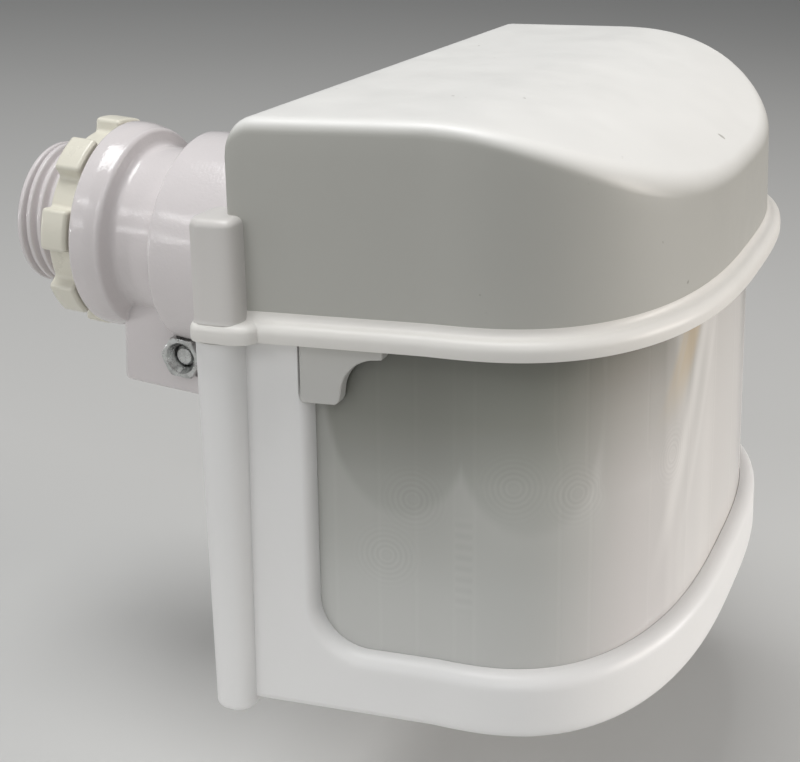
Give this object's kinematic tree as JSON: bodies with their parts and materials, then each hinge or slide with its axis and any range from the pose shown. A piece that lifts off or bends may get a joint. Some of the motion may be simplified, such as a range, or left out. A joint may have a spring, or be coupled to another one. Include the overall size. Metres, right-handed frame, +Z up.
{
  "type": "outdoor motion sensor",
  "caption": "Hooded outdoor motion sensor head with a wrap-round lens, carried by a ball swivel on a hollow threaded arm with a lugged lock nut.",
  "frame": {"origin": "on the arm's stem axis, in the plane of the lock nut's outer face, which bears on the lampholder box cover", "axes": "+Y outward along the threaded stem, +Z up, +X to the sensor's left as it looks out along -Y"},
  "size_m": [0.0962, 0.1058, 0.071],
  "materials": {
    "hood_plastic": "moulded white, soft satin sheen",
    "housing_plastic": "moulded white, soft satin sheen",
    "arm_plastic": "glossy white, lightly textured",
    "nut_plastic": "cream nylon, satin",
    "seat_nylon": "natural nylon",
    "lens_plastic": "milky polyethylene, grooved inside",
    "retainer_plastic": "off-white satin",
    "gasket_rubber": "foam rubber",
    "black_plastic": "matte black",
    "zinc": "bright zinc plating",
    "sensor_can": "plated can",
    "board": "green solder mask",
    "relay_case": "dark blue, glossy",
    "capacitor_case": "amber dipped",
    "capacitor_sleeve": "shrunk vinyl sleeve",
    "photocell_ceramic": "coated ceramic",
    "led_red": "clear red",
    "pot_case": "blue, matte"
  },
  "bodies": {
    "arm": {"swivel_arm": "arm_plastic", "clamp_nut": "zinc", "clamp_washer": "zinc"},
    "nut": {"lock_nut": "nut_plastic"},
    "screw": {"clamp_screw": "zinc"},
    "seat": {"ball_seat": "seat_nylon"},
    "head": {"rear_cover": "housing_plastic", "hood": "hood_plastic", "lower_housing": "housing_plastic", "fresnel_lens": "lens_plastic", "lens_retainer": "retainer_plastic", "hood_gasket": "gasket_rubber", "column_screw_left": "zinc", "column_screw_right": "zinc", "cover_screw_left_1": "zinc", "cover_screw_right_1": "zinc", "cover_screw_left_2": "zinc", "cover_screw_right_2": "zinc", "board_screw_left_1": "zinc", "board_screw_right_1": "zinc", "board_screw_left_2": "zinc", "board_screw_right_2": "zinc", "circuit_board": "board", "pir_sensor": "sensor_can", "pir_spacer": "black_plastic", "relay": "relay_case", "film_capacitor": "capacitor_case", "electrolytic_capacitor": "capacitor_sleeve", "photocell": "photocell_ceramic", "status_led": "led_red", "control_board": "board", "range_potentiometer": "pot_case", "time_switch": "black_plastic"},
    "knob": {"range_knob": "black_plastic"},
    "slider": {"time_slider": "retainer_plastic"}
  },
  "joints": [
    {"name": "lock_nut_turn", "type": "hinge", "parent": "arm", "child": "nut", "pos_m": [0, -0.002, 0], "axis": [0, 1, 0], "continuous": true},
    {"name": "clamp_screw_turn", "type": "hinge", "parent": "arm", "child": "screw", "pos_m": [0, -0.01885, -0.0156], "axis": [1, 0, 0], "continuous": true},
    {"name": "swivel_pan", "type": "hinge", "parent": "arm", "child": "seat", "pos_m": [0, -0.0296, 0], "axis": [0, 0, 1], "range_deg": [-25, 25]},
    {"name": "swivel_tilt", "type": "hinge", "parent": "seat", "child": "head", "pos_m": [0, -0.0296, 0], "axis": [1, 0, 0], "range_deg": [-20, 25]},
    {"name": "range_knob_turn", "type": "hinge", "parent": "head", "child": "knob", "pos_m": [-0.013, -0.05813, -0.03969], "axis": [0, 0.0863, 0.9963], "range_deg": [-135, 135]},
    {"name": "time_slider_travel", "type": "slide", "parent": "head", "child": "slider", "axis": [1, 0, 0], "range_m": [-0.004, 0.004]}
  ]
}
